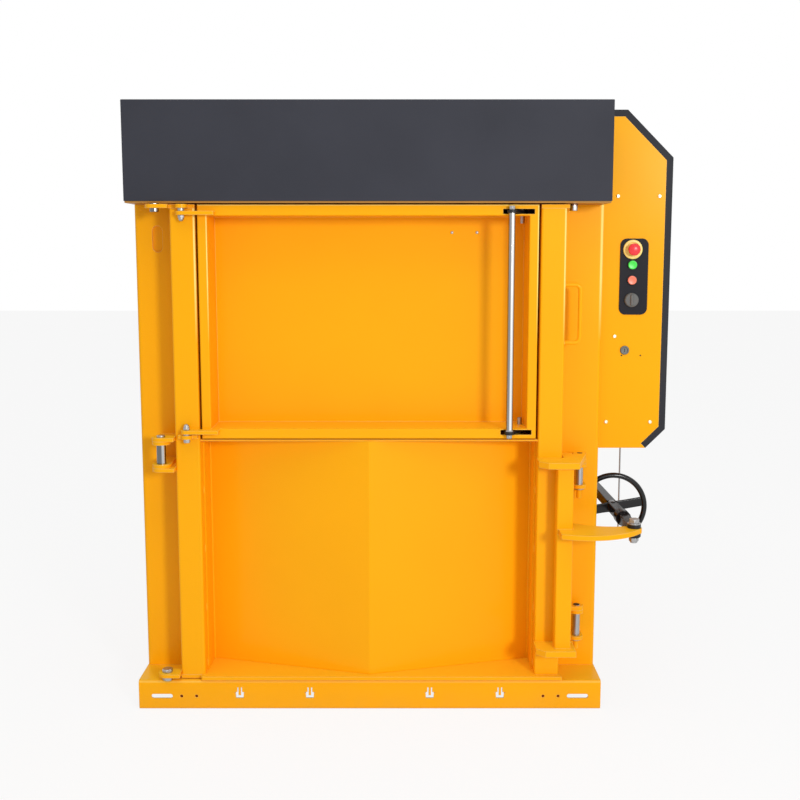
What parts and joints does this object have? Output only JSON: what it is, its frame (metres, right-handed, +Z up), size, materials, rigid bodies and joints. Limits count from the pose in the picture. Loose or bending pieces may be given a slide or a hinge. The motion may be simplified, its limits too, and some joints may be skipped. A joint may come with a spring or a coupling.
{
  "type": "recycling baler",
  "caption": "Low vertical baling press with a vee-fronted bale door, a loading hatch, a swing lock with a handwheel strut and a side hood with push-button controls.",
  "frame": {"origin": "centre of the base's underside, at floor level", "axes": "+X to the operator's right, +Y to the back, +Z up"},
  "size_m": [1.774, 1.1784, 1.985],
  "materials": {
    "orange_paint": "satin powder coat",
    "grey_paint": "fine textured powder coat",
    "bright_steel": "zinc plated",
    "chrome": "polished",
    "dark_steel": "satin black",
    "black_plastic": "satin moulded",
    "yellow_plastic": "gloss moulded",
    "red_plastic": "gloss moulded",
    "green_plastic": "gloss moulded",
    "coral_plastic": "gloss moulded",
    "grey_plastic": "satin moulded",
    "grey_machine": "semi gloss enamel"
  },
  "bodies": {
    "frame": {"base_front_beam": "orange_paint", "base_rear_beam": "orange_paint", "base_side_beams": "orange_paint", "base_bearers": "orange_paint", "base_deck": "orange_paint", "chamber_floor": "orange_paint", "left_side_wall": "orange_paint", "right_side_wall": "orange_paint", "side_ribs": "orange_paint", "back_wall": "orange_paint", "back_ribs": "orange_paint", "left_post": "orange_paint", "right_post": "orange_paint", "header_plate": "orange_paint", "top_beams": "orange_paint", "top_cover": "grey_paint", "left_door_stile": "orange_paint", "right_door_stile": "orange_paint", "door_panel": "orange_paint", "door_plates": "orange_paint", "door_hinge_leaves": "orange_paint", "frame_ears": "orange_paint", "hinge_pins": "chrome", "grab_handle": "orange_paint", "hatch_hinge_plate": "orange_paint", "hatch_pins": "bright_steel", "strut_cradle": "orange_paint", "interlock_rod": "bright_steel", "hood_front_panel": "orange_paint", "hood_wrap": "grey_paint", "hood_body": "orange_paint", "hood_brackets": "orange_paint", "hood_screws": "bright_steel", "power_pack": "grey_machine", "control_plate": "grey_paint", "stop_collar": "yellow_plastic", "button_bezels": "black_plastic", "cylinder_lugs": "orange_paint"},
    "hatch": {"hatch_tray": "orange_paint", "hatch_straps": "orange_paint", "latch_pivots": "bright_steel"},
    "latch": {"pull_rod": "chrome", "latch_cranks": "dark_steel"},
    "door_lock": {"lock_tube": "orange_paint", "lock_plates": "orange_paint", "lock_arm": "orange_paint", "clevis_bolt": "bright_steel"},
    "strut": {"clevis": "dark_steel", "strut_sleeves": "dark_steel"},
    "wheel": {"handwheel": "black_plastic"},
    "stop": {"stop_button": "red_plastic"},
    "start": {"start_button": "green_plastic"},
    "return": {"return_button": "coral_plastic"},
    "selector": {"selector_knob": "grey_plastic"},
    "panel_key": {"panel_lock": "bright_steel"},
    "press": {"platen": "orange_paint"},
    "front_barrel": {"front_cylinder": "grey_machine"},
    "front_rod": {"front_piston_rod": "chrome"},
    "rear_barrel": {"rear_cylinder": "grey_machine"},
    "rear_rod": {"rear_piston_rod": "chrome"}
  },
  "joints": [
    {"name": "hatch_swing", "type": "hinge", "parent": "frame", "child": "hatch", "pos_m": [-0.587, -0.526, 1.29], "axis": [0, 0, -1], "range_deg": [0, 120]},
    {"name": "latch_turn", "type": "hinge", "parent": "hatch", "child": "latch", "pos_m": [0.498, -0.408, 1.29], "axis": [0, 0, 1], "range_deg": [0, 26]},
    {"name": "lock_swing", "type": "hinge", "parent": "frame", "child": "door_lock", "pos_m": [0.699, -0.42, 0.53], "axis": [0, 0, 1], "range_deg": [0, 60]},
    {"name": "strut_swing", "type": "hinge", "parent": "door_lock", "child": "strut", "pos_m": [0.859, -0.55, 0.622], "axis": [0, 0, 1], "range_deg": [-55.2, 0]},
    {"name": "wheel_spin", "type": "hinge", "parent": "strut", "child": "wheel", "pos_m": [0.85314, -0.21405, 0.622], "axis": [-0.0175, 0.9998, 0], "continuous": true},
    {"name": "stop_press", "type": "slide", "parent": "frame", "child": "stop", "axis": [0, 1, 0], "range_m": [0, 0.006]},
    {"name": "start_press", "type": "slide", "parent": "frame", "child": "start", "axis": [0, 1, 0], "range_m": [0, 0.003], "stiffness_N_per_m": 800},
    {"name": "return_press", "type": "slide", "parent": "frame", "child": "return", "axis": [0, 1, 0], "range_m": [0, 0.003], "stiffness_N_per_m": 800},
    {"name": "selector_turn", "type": "hinge", "parent": "frame", "child": "selector", "pos_m": [0.877, -0.33, 1.355], "axis": [0, 1, 0], "range_deg": [-45, 45]},
    {"name": "panel_lock_turn", "type": "hinge", "parent": "frame", "child": "panel_key", "pos_m": [0.859, -0.32, 1.186], "axis": [0, 1, 0], "range_deg": [0, 90]},
    {"name": "press_slide", "type": "slide", "parent": "frame", "child": "press", "axis": [0, 0, -1], "range_m": [0, 0.7]},
    {"name": "front_barrel_swing", "type": "hinge", "parent": "frame", "child": "front_barrel", "pos_m": [-0.505, -0.095, 1.905], "axis": [0, 1, 0], "range_deg": [0, 33.95]},
    {"name": "front_rod_slide", "type": "slide", "parent": "front_barrel", "child": "front_rod", "axis": [0.9919, 0, -0.1273], "range_m": [0, 0.30106]},
    {"name": "rear_barrel_swing", "type": "hinge", "parent": "frame", "child": "rear_barrel", "pos_m": [0.505, 0.155, 1.905], "axis": [0, -1, 0], "range_deg": [0, 33.95]},
    {"name": "rear_rod_slide", "type": "slide", "parent": "rear_barrel", "child": "rear_rod", "axis": [-0.9919, 0, -0.1273], "range_m": [0, 0.30106]}
  ],
  "couplings": [
    {"joint": "strut_swing", "follows": "lock_swing", "ratio": -0.92},
    {"joint": "front_barrel_swing", "follows": "press_slide", "rad_per_m": 0.84617},
    {"joint": "front_rod_slide", "follows": "press_slide", "ratio": 0.42995},
    {"joint": "rear_barrel_swing", "follows": "press_slide", "rad_per_m": 0.84617},
    {"joint": "rear_rod_slide", "follows": "press_slide", "ratio": 0.42995}
  ]
}
